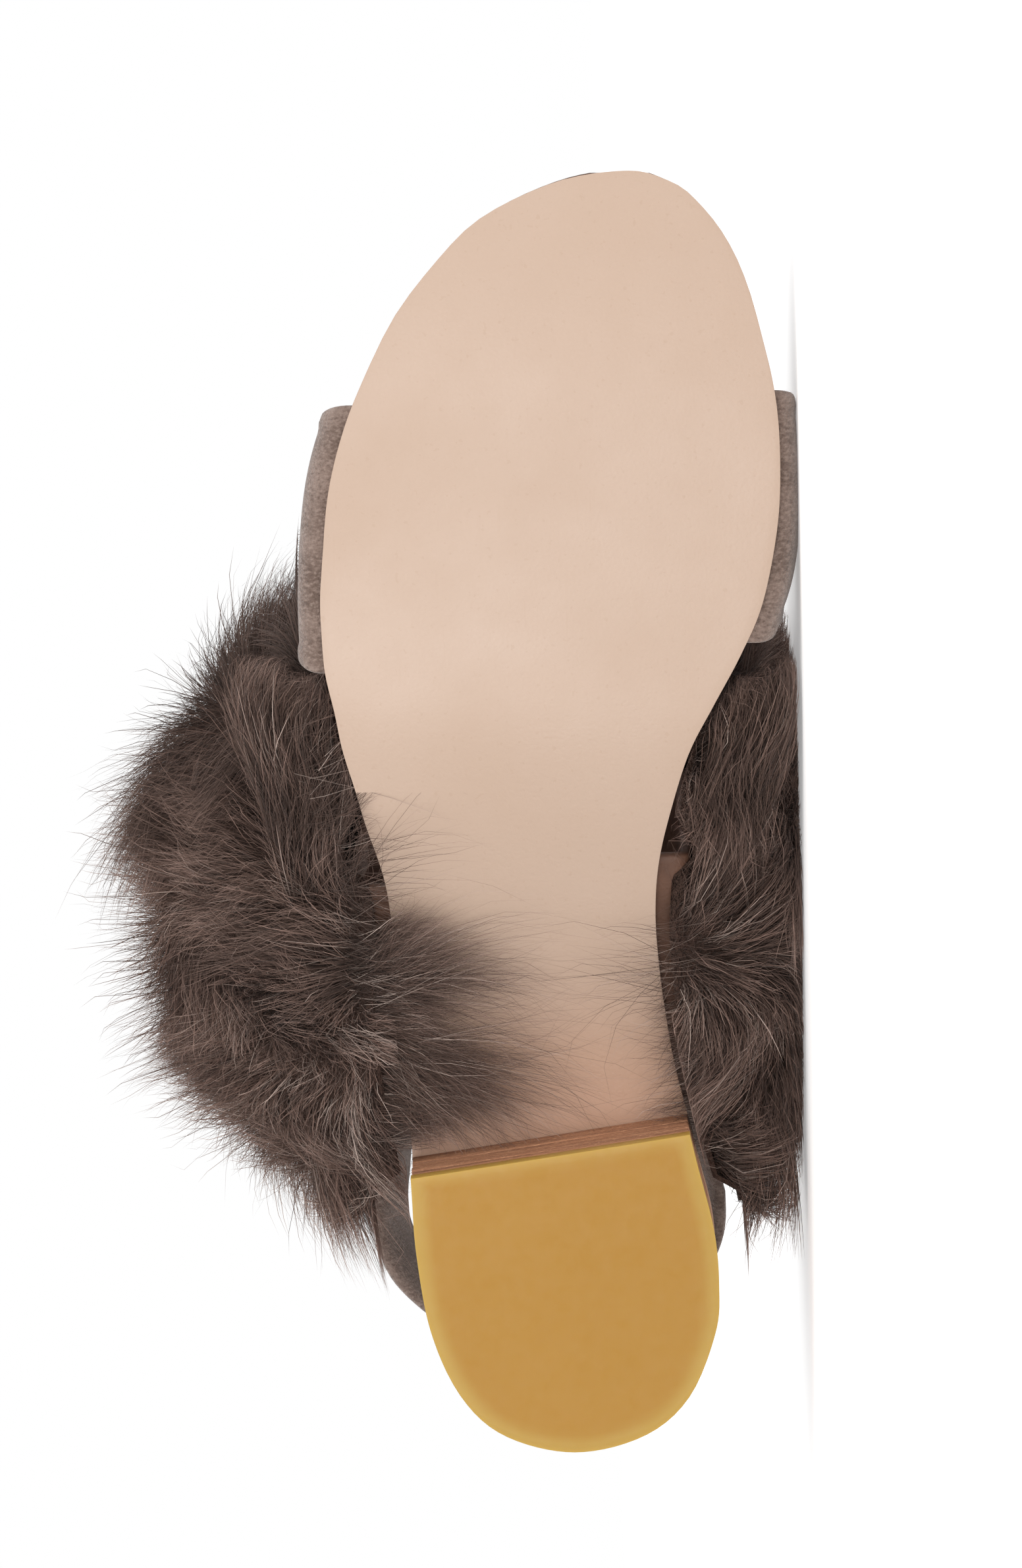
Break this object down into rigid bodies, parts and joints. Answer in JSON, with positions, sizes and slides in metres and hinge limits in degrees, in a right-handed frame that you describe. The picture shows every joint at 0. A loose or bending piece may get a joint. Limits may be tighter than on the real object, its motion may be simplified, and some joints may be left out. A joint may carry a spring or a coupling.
{
  "type": "fur sandal",
  "caption": "Right-foot sandal with a leather sole and low stacked heel, a suede toe band, a back strap and an instep strap under long fur, lying on its inner side.",
  "frame": {"origin": "the middle of the part's box in X and Y, on the floor on which the shoe lies", "axes": "+X towards the toe, +Y from the tread up through the shoe, +Z from the inner side up to the outer side, as the shoe lies on its inner side"},
  "size_m": [0.2428, 0.1404, 0.1352],
  "materials": {
    "veg_leather": "satin, pink-tan vegetable-tanned leather",
    "stacked_leather": "matt, stacked leather layers",
    "gum_rubber": "amber, slightly translucent rubber",
    "brown_leather": "matt brown lining leather",
    "taupe_suede": "brushed taupe suede",
    "long_fur": "long grey-brown fur"
  },
  "bodies": {
    "root": {"outsole": "veg_leather", "insole": "brown_leather", "top_lift": "gum_rubber", "toe_band": "taupe_suede", "instep_and_back_strap": "brown_leather", "instep_fur": "long_fur", "heel_lift_1": "stacked_leather", "heel_lift_2": "stacked_leather", "heel_lift_3": "stacked_leather", "heel_lift_4": "stacked_leather", "heel_lift_5": "stacked_leather"}
  },
  "joints": []
}
